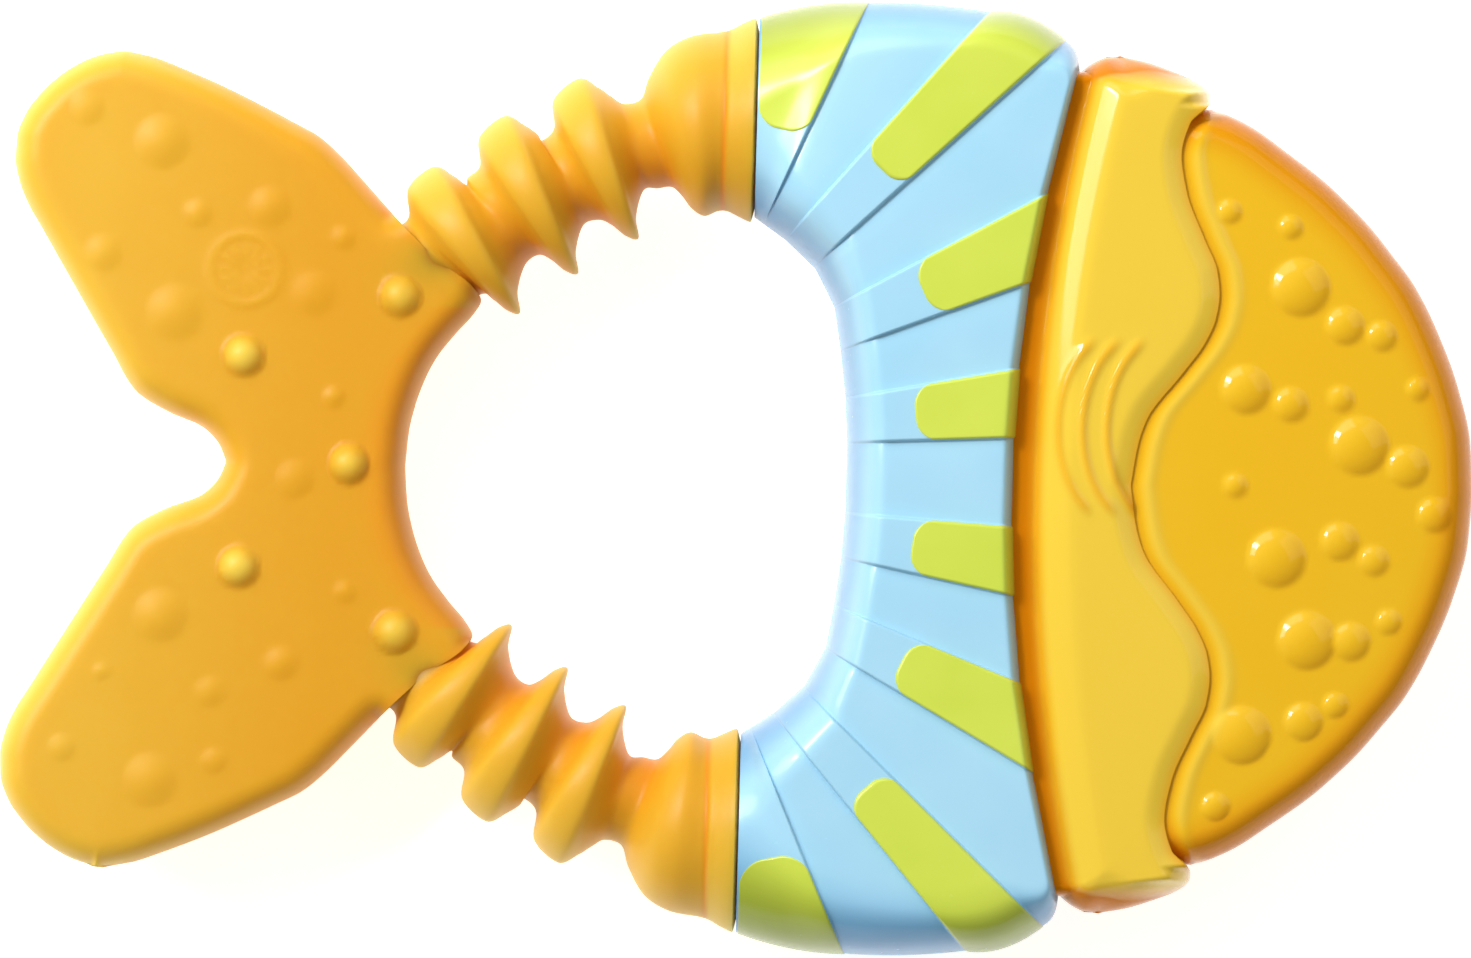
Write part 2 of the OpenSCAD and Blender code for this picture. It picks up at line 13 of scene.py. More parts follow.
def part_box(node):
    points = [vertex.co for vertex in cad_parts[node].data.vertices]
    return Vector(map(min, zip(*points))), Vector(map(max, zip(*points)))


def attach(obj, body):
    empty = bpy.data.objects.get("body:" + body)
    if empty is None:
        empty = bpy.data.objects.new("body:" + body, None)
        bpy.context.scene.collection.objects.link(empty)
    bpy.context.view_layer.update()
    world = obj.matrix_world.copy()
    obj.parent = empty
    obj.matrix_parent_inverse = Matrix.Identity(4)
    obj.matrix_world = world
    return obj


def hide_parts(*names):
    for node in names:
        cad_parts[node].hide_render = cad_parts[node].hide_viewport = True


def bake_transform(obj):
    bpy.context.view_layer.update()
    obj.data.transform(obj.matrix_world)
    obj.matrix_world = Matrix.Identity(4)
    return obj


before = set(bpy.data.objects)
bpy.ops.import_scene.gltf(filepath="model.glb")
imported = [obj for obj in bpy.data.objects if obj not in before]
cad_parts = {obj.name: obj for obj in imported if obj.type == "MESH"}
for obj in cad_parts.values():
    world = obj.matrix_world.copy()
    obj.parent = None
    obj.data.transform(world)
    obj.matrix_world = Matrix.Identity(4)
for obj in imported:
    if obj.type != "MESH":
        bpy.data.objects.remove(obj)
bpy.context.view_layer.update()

bl_info = {
    "name": "Fish Teething Ring",
    "version": (1, 0, 0),
    "blender": (4, 5, 0),
    "location": "3D View > Sidebar > Teether",
    "description": "Builds the surfaces, finishes and studio of a fish teething ring",
    "category": "Add Mesh",
}

MM = 0.001
# Height of the parting plane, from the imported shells, in millimetres.
MID = float(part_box("body_front_shell")[0][2]) / MM


# ---- small helpers ----


def linear(hex_colour):
    """An sRGB hex colour as linear RGBA: each channel through the sRGB curve."""
    value = np.array([int(hex_colour[k : k + 2], 16) for k in (1, 3, 5)]) / 255
    curve = np.where(value <= 0.04045, value / 12.92, ((value + 0.055) / 1.055) ** 2.4)
    return (*curve.tolist(), 1.0)


def ease(x, low, high):
    """0 below low, 1 above high, and a smooth 3t^2 - 2t^3 rise between."""
    t = np.clip((x - low) / (high - low), 0, 1)
    return t * t * (3 - 2 * t)


def through(x, table):
    """A smooth curve through a table of (x, value): a cubic on each interval, with slopes that never
    overshoot."""
    table = np.asarray(table, float)
    at, value = table[:, 0], table[:, 1]
    step = np.diff(at)
    rise = np.diff(value) / step
    slope = np.empty_like(value)
    slope[0], slope[-1] = rise[0], rise[-1]
    both = rise[:-1] * rise[1:]
    mean = (rise[:-1] + rise[1:]) / 2
    slope[1:-1] = np.where(both > 0, both / np.where(mean == 0, 1, mean), 0)
    x = np.clip(x, at[0], at[-1])
    k = np.clip(np.searchsorted(at, x, side="right") - 1, 0, len(step) - 1)
    t = (x - at[k]) / step[k]
    a, b = value[k], value[k + 1]
    return (
        a * (1 + 2 * t) * (1 - t) ** 2
        + b * t * t * (3 - 2 * t)
        + step[k] * (slope[k] * t * (1 - t) ** 2 - slope[k + 1] * t * t * (1 - t))
    )


def flowing(points, u):
    """Points on a smooth path: a Catmull-Rom curve through the given points, which are at u = 0, 1, 2
    and so on."""
    p = np.asarray(points, float)
    p = np.vstack([2 * p[0] - p[1], p, 2 * p[-1] - p[-2]])
    k = np.clip(np.floor(u).astype(int), 0, len(p) - 4)
    t = (u - k)[..., None]
    a, b, c, d = p[k], p[k + 1], p[k + 2], p[k + 3]
    square, cube = 2 * a - 5 * b + 4 * c - d, 3 * b - a - 3 * c + d
    return 0.5 * (2 * b + (c - a) * t + square * t**2 + cube * t**3)


def bell(x, middle, width):
    """A bell curve of height 1: e to the minus square of the distance from the middle, in widths."""
    return np.exp(-(((x - middle) / width) ** 2))


def edge_rise(depth, radius, power=2.3):
    """The height of a rounded edge, from 0 at the edge to 1 one radius in: a quarter of a superellipse."""
    t = 1 - np.clip(depth / radius, 0, 1)
    return (1 - t**power) ** (1 / power)


def distance_to(x, y, path):
    """The distance of every (x, y) from a path of straight pieces: the least over its pieces."""
    flat = np.stack([x.ravel(), y.ravel()], 1)
    least = np.full(len(flat), np.inf)
    for a, b in zip(path[:-1], path[1:]):
        way = b - a
        t = np.clip(((flat - a) @ way) / max(way @ way, 1e-12), 0, 1)
        least = np.minimum(least, np.hypot(*(flat - a - t[:, None] * way).T))
    return least.reshape(x.shape)


def swell(x, y, bumps, roundness=1.0):
    """The height of scattered bumps: each is a cap of a sphere, given as x, y, width and height."""
    height = np.zeros_like(x)
    for bx, by, width, tall in bumps:
        t = np.clip(1 - ((x - bx) ** 2 + (y - by) ** 2) / (width / 2) ** 2, 0, 1)
        height = np.maximum(height, tall * t**roundness)
    return height


def quads(rows, columns, closed=False, start=0, flip=False):
    """The faces of a grid of points, row by row. Closed joins the last column to the first."""
    r, c = np.meshgrid(np.arange(rows - 1), np.arange(columns if closed else columns - 1), indexing="ij")
    n = (c + 1) % columns
    face = np.stack([r * columns + c, r * columns + n, (r + 1) * columns + n, (r + 1) * columns + c], -1)
    face = face.reshape(-1, 4) + start
    return face[:, ::-1] if flip else face


def make_piece(name, parts, marks=None):
    """One mesh from parts of (points in millimetres, quads), smooth-shaded, with doubles merged and faces
    outward. Marks are point attributes, one array for each part."""
    points = np.concatenate([np.asarray(p, float).reshape(-1, 3) for p, _ in parts])
    shift = np.cumsum([0] + [np.asarray(p).reshape(-1, 3).shape[0] for p, _ in parts])
    faces = np.concatenate([f + s for (_, f), s in zip(parts, shift)])
    mesh = bpy.data.meshes.new(name)
    mesh.from_pydata((points * MM).tolist(), [], faces.tolist())
    for mark, values in (marks or {}).items():
        layer = mesh.attributes.new(mark, "FLOAT", "POINT")
        layer.data.foreach_set("value", np.concatenate([np.ravel(v) for v in values]).astype(np.float32))
    piece = bpy.data.objects.new(name, mesh)
    bpy.context.scene.collection.objects.link(piece)
    tidy_mesh(mesh)
    if not mesh.polygons:
        raise RuntimeError(f"{name} came out with no faces")
    return piece


def tidy_mesh(mesh):
    """Merges points closer than 2 micrometres, drops the faces that collapse and turns the rest outward."""
    work = bmesh.new()
    work.from_mesh(mesh)
    bmesh.ops.remove_doubles(work, verts=work.verts, dist=2e-6)
    bmesh.ops.dissolve_degenerate(work, edges=work.edges, dist=1e-7)
    bmesh.ops.recalc_face_normals(work, faces=work.faces)
    work.to_mesh(mesh)
    work.free()
    mesh.polygons.foreach_set("use_smooth", np.ones(len(mesh.polygons), bool))
    mesh.update()


def dress(piece, material, slot, *nodes):
    """Gives a piece its finish and hides the CAD nodes that it stands for."""
    piece.data.materials.clear()
    piece.data.materials.append(material)
    if nodes:
        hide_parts(*nodes)
    return piece


# ---- finishes ----


def add_node(tree, kind, settings=None, **links):
    """Adds a node. Settings are its own properties and the values of its sockets, by name or number. Links
    are sockets to join, named as they are or as an underscore and a number."""
    node = tree.nodes.new(kind)
    for key, value in (settings or {}).items():
        if isinstance(key, int) or key in node.inputs.keys():
            node.inputs[key].default_value = value
        else:
            setattr(node, key, value)
    for key, source in links.items():
        target = int(key[1:]) if key[0] == "_" else key
        tree.links.new(source, node.inputs[target])
    return node


def new_material(name):
    """An empty node material with its output and a Principled shader."""
    material = bpy.data.materials.new(name)
    material.use_nodes = True
    tree = material.node_tree
    tree.nodes.clear()
    output = tree.nodes.new("ShaderNodeOutputMaterial")
    shader = tree.nodes.new("ShaderNodeBsdfPrincipled")
    tree.links.new(shader.outputs["BSDF"], output.inputs["Surface"])
    return material, tree, shader


def ramp_node(tree, source, stops):
    """A colour ramp through (place, colour) stops. A colour is sRGB hex, or linear RGB from the settings."""
    node = add_node(tree, "ShaderNodeValToRGB", None, Fac=source)
    while len(node.color_ramp.elements) < len(stops):
        node.color_ramp.elements.new(0.5)
    for element, (place, colour) in zip(node.color_ramp.elements, stops):
        element.position = place
        element.color = linear(colour) if isinstance(colour, str) else (*colour, 1.0)
    return node


def mottle(tree, size_mm, detail=2.0):
    """Noise on the piece's own coordinates, with cells of a real size in millimetres."""
    place = add_node(tree, "ShaderNodeTexCoord")
    settings = {"Scale": 1 / (size_mm * MM), "Detail": detail}
    return add_node(tree, "ShaderNodeTexNoise", settings, Vector=place.outputs["Object"])


def roughen(tree, shader, noise, low, high, bump_mm):
    """Roughness between two values by the noise, and a bump of a real height."""
    grain = noise.outputs["Fac"]
    spread = add_node(tree, "ShaderNodeMapRange", {"To Min": low, "To Max": high}, Value=grain)
    bump = add_node(tree, "ShaderNodeBump", {"Strength": 0.5, "Distance": bump_mm * MM}, Height=grain)
    tree.links.new(spread.outputs["Result"], shader.inputs["Roughness"])
    tree.links.new(bump.outputs["Normal"], shader.inputs["Normal"])


def clouded_ramp(tree, mark, stops, cloud_mm, spread):
    """A colour ramp along a piece's own mark, moved up and down by half the spread in clouds of a real
    size."""
    along = add_node(tree, "ShaderNodeAttribute", {"attribute_name": mark}).outputs["Fac"]
    cloud = mottle(tree, cloud_mm).outputs["Fac"]
    settings = {"operation": "MULTIPLY_ADD", 1: spread, 2: -spread / 2}
    lean = add_node(tree, "ShaderNodeMath", settings, _0=cloud)
    total = add_node(tree, "ShaderNodeMath", {"operation": "ADD"}, _0=along, _1=lean.outputs["Value"])
    return ramp_node(tree, total.outputs["Value"], stops)


def moulded_abs(name, base, shade, deep):
    """Injection-moulded ABS from a polished tool: an even opaque colour under a clean gloss, with the faint
    flow marks, some 9 mm across, that a large moulded face shows. Its rim mark mixes in a deeper colour:
    painted shade where the surface turns away at its edges."""
    material, tree, shader = new_material(name)
    flow = mottle(tree, 9)
    colour = ramp_node(tree, flow.outputs["Fac"], [(0.3, shade), (0.7, base)])
    # The rim mark is painted shade: the colour goes deeper where the surface turns away at its edges.
    rim = add_node(tree, "ShaderNodeAttribute", {"attribute_name": "rim"})
    # Sockets 6 and 7 of a mix node are its two colours, and output 2 is the mixed one.
    settings = {"data_type": "RGBA", 7: linear(deep)}
    mix = add_node(tree, "ShaderNodeMix", settings, _0=rim.outputs["Fac"], _6=colour.outputs["Color"])
    tree.links.new(mix.outputs[2], shader.inputs["Base Color"])
    fine = mottle(tree, 0.8, 3)
    roughen(tree, shader, fine, 0.2, 0.3, 0.004)
    shader.inputs["IOR"].default_value = 1.54
    shader.inputs["Specular IOR Level"].default_value = 0.28
    shader.inputs["Coat Weight"].default_value = 0.1
    shader.inputs["Coat Roughness"].default_value = 0.08
    shader.inputs["Subsurface Weight"].default_value = 0.08
    shader.inputs["Subsurface Radius"].default_value = (1.0, 1.0, 1.0)
    shader.inputs["Subsurface Scale"].default_value = 0.6 * MM
    return material


def soft_elastomer():
    """Translucent thermoplastic elastomer, moulded in a satin tool: thick places turn deep orange, the
    valleys between the ribs are painted deeper as shade, thin rims and tips stay pale, and light spreads a
    few millimetres under a soft sheen."""
    material, tree, shader = new_material("tail_tpe_satin_moulded")
    stops = [(0.0, "#EEC94C"), (0.3, "#E5B030"), (0.6, "#E3A421"), (1.0, "#EC961C")]
    colour = clouded_ramp(tree, "warmth", stops, 11, 0.12)
    tree.links.new(colour.outputs["Color"], shader.inputs["Base Color"])
    grain = mottle(tree, 0.5, 3)
    roughen(tree, shader, grain, 0.36, 0.48, 0.006)
    shader.inputs["IOR"].default_value = 1.49
    shader.inputs["Specular IOR Level"].default_value = 0.25
    shader.inputs["Subsurface Weight"].default_value = 0.5
    shader.inputs["Subsurface Radius"].default_value = (1.0, 0.8, 0.45)
    shader.inputs["Subsurface Scale"].default_value = 3 * MM
    return material


def clear_amber(name, stops, low, high):
    """Soft clear-amber EVA from a polished tool, with water behind it: light colour in the middle, deep amber
    where the wall turns, and a wet gloss that fades towards the rim. Its rim mark also carries painted light
    and painted shade: on the bumps, along the wave and at the band's ends."""
    material, tree, shader = new_material(name)
    rim = add_node(tree, "ShaderNodeAttribute", {"attribute_name": "rim"}).outputs["Fac"]
    colour = clouded_ramp(tree, "rim", stops, 14, 0.1)
    tree.links.new(colour.outputs["Color"], shader.inputs["Base Color"])
    grain = mottle(tree, 1.2, 2)
    roughen(tree, shader, grain, low, high, 0.004)
    fade = {"From Min": 0.35, "From Max": 0.95, "To Min": 0.3, "To Max": 0.01}
    shine = add_node(tree, "ShaderNodeMapRange", fade, Value=rim)
    tree.links.new(shine.outputs["Result"], shader.inputs["Specular IOR Level"])
    shader.inputs["IOR"].default_value = 1.48
    shader.inputs["Coat Weight"].default_value = 0.03
    shader.inputs["Coat Roughness"].default_value = 0.05
    shader.inputs["Subsurface Weight"].default_value = 0.04
    shader.inputs["Subsurface Radius"].default_value = (1.0, 0.85, 0.6)
    shader.inputs["Subsurface Scale"].default_value = 1.5 * MM
    return material


# ---- the tail: fin, ribbed arms and cups in one moulding ----

# Half the span of the fin, and the fin's two outlines as (height above the middle line, x).
FIN_SPAN = 35.7
FIN_LEFT = [
    (0, -44.85), (1.5, -45.5), (3, -47), (4.2, -50), (6, -52.95), (9.4, -55.1), (14.5, -58.2), (20, -61.5),
    (22, -62.7), (24, -63.55), (26, -63.95), (28, -63.85), (30, -63.15), (32, -61.7), (33.5, -60.1),
    (34.6, -58.4), (35.35, -56.6), (35.7, -54.8),
]
FIN_RIGHT = [
    (0, -29.2), (3, -28.95), (5.5, -28.4), (8, -27.5), (9.7, -26.6), (11.8, -25), (13.4, -23.6),
    (14.7, -22.9), (15.8, -23.6), (18, -26.6), (20, -28.8), (22, -30.8), (24.9, -33.5), (27, -35.5),
    (28.7, -37.5), (29.9, -39.8), (30.9, -41.8), (32.7, -45.6), (34.3, -49.5), (35.2, -52), (35.7, -54.4),
]
# Bumps are (x, y, width, height). The bright ones stand out pale, the soft ones only swell the skin.
BRIGHT_BUMPS = [
    (-43.3, 9.3, 3.6, 1.1), (-29.8, 14.8, 3.6, 1.0), (-33.9, 0.1, 3.5, 1.1), (-43.3, -9.1, 3.6, 1.1),
    (-29.5, -14.4, 3.8, 1.1),
]
SOFT_BUMPS = [
    (-50.9, 27.7, 5.2, 0.5), (-57.5, 30.5, 3.4, 0.25), (-47.6, 21.6, 2.8, 0.3), (-41.4, 22.3, 4, 0.35),
    (-34.9, 19.8, 2.4, 0.25), (-55.8, 17.9, 3.6, 0.3), (-49.4, 12.9, 5.4, 0.45), (-37.4, 14.9, 4.4, 0.3),
    (-35.4, 5.9, 2.2, 0.3), (-38.6, -1.3, 3.8, 0.3), (-50, -13.5, 5.2, 0.5), (-34, -11, 2.2, 0.25),
    (-39.4, -17.4, 3.3, 0.35), (-45.5, -20, 3, 0.25), (-55, -18.5, 1.8, 0.2), (-58.3, -25.2, 2.8, 0.25),
    (-50.5, -27.8, 5.2, 0.45), (-45, -26, 2.6, 0.25),
]
# The middle of the plain rosette on the upper lobe, and how many spokes it has.
ROSETTE, SPOKES = (-43.4, 16.8), 12
# Matching points of an arm's outer and inner outline, from inside the fin to the collar. A rib repeats one
# pattern about its own tips.
RIB_TIPS = [((-27.4, 26.3), (-19.5, 13.7)), ((-21.3, 30.9), (-14.5, 17.3)), ((-14.9, 34.35), (-9.3, 20.5))]
RIB_OUTER = [(-3.1, -5.5), (-2.05, -4.4), (-2.15, -1.9), (0.0, 0.0), (1.75, -0.75), (2.9, -1.5)]
RIB_INNER = [(-3.5, 1.5), (-2.4, 1.1), (-1.1, 0.15), (0.0, 0.0), (-0.25, 1.9), (0.35, 4.2)]
CUP_OUTER = [
    (-10.9, 32.25), (-9.4, 32.7), (-8.75, 34.6), (-7.3, 37.0), (-5.1, 38.3), (-2.5, 38.75), (-1.6, 39.0),
    (-0.6, 39.55), (0.3, 39.95), (0.55, 39.85), (0.85, 38.6),
]
CUP_INNER = [
    (-7.7, 24.9), (-6.5, 25.05), (-5.6, 24.3), (-4.7, 23.2), (-3.6, 22.6), (-2.4, 23.05), (-1.6, 23.05),
    (-0.6, 22.6), (0.3, 22.2), (0.55, 22.35), (0.85, 23.6),
]


def fin_surface(rows, columns, thickness):
    """The fin as rows across it: each runs from the left outline to the right one and back underneath. The
    height is half the thickness times a rounded edge of the true distance from the outline, with the bumps
    on top."""
    y = FIN_SPAN * np.sin(np.linspace(-math.pi / 2, math.pi / 2, rows))
    y = 0.55 * y + 0.45 * np.linspace(-FIN_SPAN, FIN_SPAN, rows)
    left, right = through(abs(y), FIN_LEFT), through(abs(y), FIN_RIGHT)
    tip_x = (FIN_LEFT[-1][1] + FIN_RIGHT[-1][1]) / 2
    left[[0, -1]] = right[[0, -1]] = tip_x
    s = 0.5 - 0.5 * np.cos(np.linspace(0, math.pi, columns))
    s = 0.75 * s + 0.25 * np.linspace(0, 1, columns)
    x = left[:, None] + (right - left)[:, None] * s
    yy = np.repeat(y[:, None], columns, 1)
    line = np.linspace(-FIN_SPAN, FIN_SPAN, 400)
    outline = np.concatenate(
        [
            np.stack([through(abs(line), FIN_LEFT), line], 1),
            np.stack([through(abs(line), FIN_RIGHT), line], 1)[::-1],
        ]
    )
    # The stretches where the arms join have no edge to round.
    keep = ~((abs(outline[:, 1]) > 14.9) & (abs(outline[:, 1]) < 22) & (outline[:, 0] > -35))
    runs = np.split(outline, np.flatnonzero(~keep))
    depth = np.min([distance_to(x, yy, run[1:]) for run in runs if len(run) > 4], axis=0)
    thick = thickness / 2 * (0.94 + 0.06 * ease(x, -60, -35))
    height = thick * edge_rise(depth, 2.8, 2.4)
    bright = swell(x, yy, BRIGHT_BUMPS, 0.8)
    bumps = np.maximum(bright, 0.75 * swell(x, yy, SOFT_BUMPS, 1.6))
    away = np.hypot(x - ROSETTE[0], yy - ROSETTE[1])
    spokes = 0.5 + 0.5 * np.cos(SPOKES * np.arctan2(yy - ROSETTE[1], x - ROSETTE[0]))
    rosette = 0.12 * bell(away, 3, 0.35) + 0.1 * spokes * ease(away, 0.6, 1) * ease(-away, -2.5, -2.1)
    top = height + (bumps + rosette) * ease(depth, 0.5, 2)
    under = height + bumps * ease(depth, 0.5, 2)
    over = np.stack([x, yy, MID + top], -1)
    back = np.stack([x, yy, MID - under], -1)[:, ::-1]
    points = np.concatenate([over, back[:, 1:-1]], 1)
    inward = right[:, None] - x
    # Warmer towards the ring and along the inner edge, paler at the outer rim and on the bright bumps.
    shade = 0.25 + 0.35 * ease(x, -58, -34) - 0.15 * (1 - ease(depth, 0, 3)) * ease(-x, 42, 52)
    by_ring = 0.4 * (1 - ease(inward, 0, 5))
    by_arm = 0.25 * (1 - ease(inward, 0, 1.6))
    shade = shade + np.where(abs(yy) < 14, by_ring, by_arm) - 0.45 * bright
    warmth = np.concatenate([shade, shade[:, ::-1][:, 1:-1]], 1)
    return points, warmth


def arm_surface(side, rows, around):
    """An arm and its cup: a circle is carried along, and at each place its diameter runs from the outer
    outline to the inner one. Its colour is warmest where it is thinnest, in the valleys between the ribs:
    painted shade in the valleys."""
    outer = [(np.array(t[0]) + o) for t in RIB_TIPS for o in RIB_OUTER]
    inner = [(np.array(t[1]) + o) for t in RIB_TIPS for o in RIB_INNER]
    outer = np.array([(-34.5, 17.2), (-32.6, 19.0)] + [tuple(p) for p in outer] + CUP_OUTER)
    inner = np.array([(-31.5, 12.6), (-28.0, 13.0)] + [tuple(p) for p in inner] + CUP_INNER)
    u = np.linspace(0, len(outer) - 1, rows)
    a, b = flowing(outer, u), flowing(inner, u)
    centre, half = (a + b) / 2, (a - b) / 2
    radius = np.hypot(*half.T)
    angle = np.linspace(0, 2 * math.pi, around, endpoint=False)
    ring = centre[:, None] + half[:, None] * np.cos(angle)[None, :, None]
    spread = 11
    window = np.ones(2 * spread + 1) / (2 * spread + 1)
    calm = np.convolve(np.pad(radius, spread, mode="edge"), window, mode="valid")
    cup = ease(centre[:, 0], -9.5, -7.5)
    at_collar = ease(centre[:, 0], -2.1, -1.6)
    collar = 0.3 * at_collar
    tall = radius * cup + (0.35 * radius + 0.65 * calm) * (1 - cup) + collar
    z = MID + tall[:, None] * np.sin(angle)
    points = np.stack([ring[..., 0], side * ring[..., 1], z], -1)
    for end in (0, -1):
        points[end] = points[end].mean(0)
    # The valleys between the ribs are painted deeper orange: painted shade in the valleys.
    valley = 1 - ease(radius, 4.3, 7.2)
    along = ease(centre[:, 0], -8.5, -4)
    inward = 0.5 - 0.5 * np.cos(angle)
    warmth = 0.15 + (valley * (1 - along))[:, None] * (0.2 + 0.35 * inward) + 0.35 * inward
    # Warmer towards the cup; a deep line at the foot of the collar is painted shade in that corner, and the
    # raised collar is painted paler, a painted light.
    groove = bell(centre[:, 0], -2.0, 0.25)
    warmth = warmth + (0.1 * along - 0.15 * at_collar + 0.5 * groove)[:, None]
    return points, warmth


# ---- the hard body ----

# The body's fan lines, outer end and inner end, from the end face to the middle: the upper nine of eighteen.
FAN = [
    ((0.8, 40.0), (0.8, 22.6)), ((10.5, 41.6), (1.7, 22.0)), ((20.9, 41.05), (3.6, 20.7)),
    ((27.8, 38.55), (6.2, 18.3)), ((28.8, 35.4), (6.6, 17.6)), ((26.7, 25.5), (8.0, 14.9)),
    ((25.4, 17.4), (8.65, 11.0)), ((24.7, 10.1), (9.15, 7.0)), ((24.4, 3.7), (9.4, 2.95)),
]
LAST = 2 * len(FAN) - 1
# How far the outer outline bows out between two lines, along y, and more at the shoulder, along x and y.
FAN_BOW = [0.45, 0.25, 0.85, 0.15, 0, 0, 0, 0]
SHOULDER, SHOULDER_BOW = 3, (0.35, 0.25)
# The raised bands lie between these lines, and a stripe covers this share of its band's length.
BANDS = [(0, 1), (2, 3), (5, 6), (7, 8), (9, 10), (11, 12), (14, 15), (16, 17)]
STRIPE_REACH = [0.6, 0.66, 0.6, 0.62, 0.62, 0.66, 0.66, 0.44]
# The lip at the parting plane stands this far from it, in millimetres.
BODY_LIP, HEAD_LIP = 0.06, 0.05


def fan_lines(u):
    """The outer and inner end of the fan line at each place u, 0 to LAST, and the length between them.
    Outlines run straight between tabled lines, with a parabola's bow on the outer one, and the lower half
    mirrors the upper."""
    low = u > LAST / 2
    v = np.where(low, LAST - u, u)
    top = len(FAN) - 1
    k = np.clip(np.floor(v).astype(int), 0, top)
    n = np.minimum(k + 1, top)
    f = (v - k)[..., None]
    fan = np.array(FAN)
    bow = np.append(FAN_BOW, 0)[k][..., None] * np.array([0, 1])
    bow = (bow + (k == SHOULDER)[..., None] * np.array(SHOULDER_BOW)) * 4 * f * (1 - f)
    outer = fan[k, 0] * (1 - f) + fan[n, 0] * f + bow
    inner = fan[k, 1] * (1 - f) + fan[n, 1] * f
    flip = np.stack([np.ones_like(v), np.where(low, -1.0, 1.0)], -1)
    outer, inner = outer * flip, inner * flip
    across = (u > top) & (u < top + 1)
    for line, end in ((outer, FAN[top][0]), (inner, FAN[top][1])):
        line[across, 0] = end[0]
        line[across, 1] = end[1] * (1 - 2 * (u[across] - top))
    return outer, inner, np.hypot(*np.moveaxis(outer - inner, -1, 0))


def fan_sizes(u):
    """Half the thickness of the gap surface and the rounding of the outer and the inner edge at each place
    u."""
    v = np.minimum(u, LAST - u)
    half = through(v, [(0, 8.75), (0.5, MID - 1.7), (1, MID - 0.95), (2, MID - 0.45), (9, MID - 0.45)])
    outer = through(v, [(0, 8.7), (0.5, 8), (1, 6.5), (2, 5.5), (3, 4.5), (4, 1.8), (9, 1.8)])
    inner = through(v, [(0, 8.7), (0.5, 7.5), (1, 6), (2, 5), (4, 4), (5, 3.4), (9, 3.4)])
    return half, outer, inner


def band_rise(u, width_mm, rise):
    """How far the surface stands above the gaps: a box over each band with flanks 0.4 mm wide, and beside
    each flank the gap dips and comes back up over a millimetre or two."""
    total, dip = np.zeros_like(u), np.zeros_like(u)
    for start, end in BANDS:
        spread = 0.4 / np.maximum(width_mm, 1)
        first = 1 if start == 0 else ease(u, start - 0.1 * spread, start + spread)
        last = 1 if end == LAST else ease(-u, -end - 0.1 * spread, -end + spread)
        total = np.maximum(total, np.where((u >= start - 0.2) & (u <= end + 0.2), first * last, 0))
        for beyond, deep in (((u - end) * width_mm, 0.14), ((start - u) * width_mm, 0.07)):
            dip = np.maximum(dip, np.where(beyond > -0.2, deep * np.exp(-np.maximum(beyond, 0) / 1.2), 0))
    return rise * total - dip * (1 - total)


def fan_width(u):
    """The width, in millimetres along the outer outline, of the stretch of one unit of u."""
    outer = fan_lines(np.arange(LAST + 1.0))[0]
    widths = np.hypot(*np.diff(outer, axis=0).T)
    return widths[np.clip(np.floor(u).astype(int), 0, LAST - 1)]


def body_points(u, depth, rise, lift=0.0):
    """Points of the front skin at places u and depths in from the outer edge: the height is a rounded edge
    at both long edges plus the band's rise. Lift moves them outward."""
    outer, inner, width = fan_lines(u)
    half, near, far = fan_sizes(u)
    near, far = np.minimum(near, width / 2), np.minimum(far, width / 2)
    way = (inner - outer) / width[..., None]
    tall = half + band_rise(u, fan_width(u), rise)
    height = tall * np.minimum(edge_rise(depth, near, 2.15), edge_rise(width - depth, far, 2.15))
    spot = outer + way * depth[..., None]
    side = np.where(depth < width / 2, -1, 1)
    slope = np.clip(1 - np.where(side < 0, depth / near, (width - depth) / far), 0, 1) ** 1.2
    spot = spot + way * (side * slope * lift)[..., None]
    return np.concatenate([spot, (height + lift * (1 - 0.5 * slope))[..., None]], -1)


def painted_body_shade(u, depth):
    """How much painted shade the colour takes, 0 to 1: deeper where the surface turns away at its long edges,
    and over a wider band towards the bottom.
    """
    width = fan_lines(u)[2]
    near, far = fan_sizes(u)[1:]
    # Painted shade reaches further in towards the bottom, where less light falls.
    reach = (0.75 * near + 0.5) * (1 + 0.9 * ease(u, 12.5, 14))
    return np.maximum(1 - ease(depth, -0.5, reach), 1 - ease(width - depth, 0.1, 0.6 * far))


def body_places(per_unit):
    """Places along the fan, crowded at each band's edges."""
    edges = np.array(sorted({float(e) for band in BANDS for e in band}))
    spots = [np.linspace(0, LAST, LAST * per_unit + 1)]
    for offset in (-0.012, -0.004, 0.004, 0.012, 0.02, 0.03, 0.042, 0.055, 0.075, 0.1):
        spots += [edges + offset, edges - offset]
    return np.unique(np.round(np.clip(np.concatenate(spots), 0, LAST), 4))


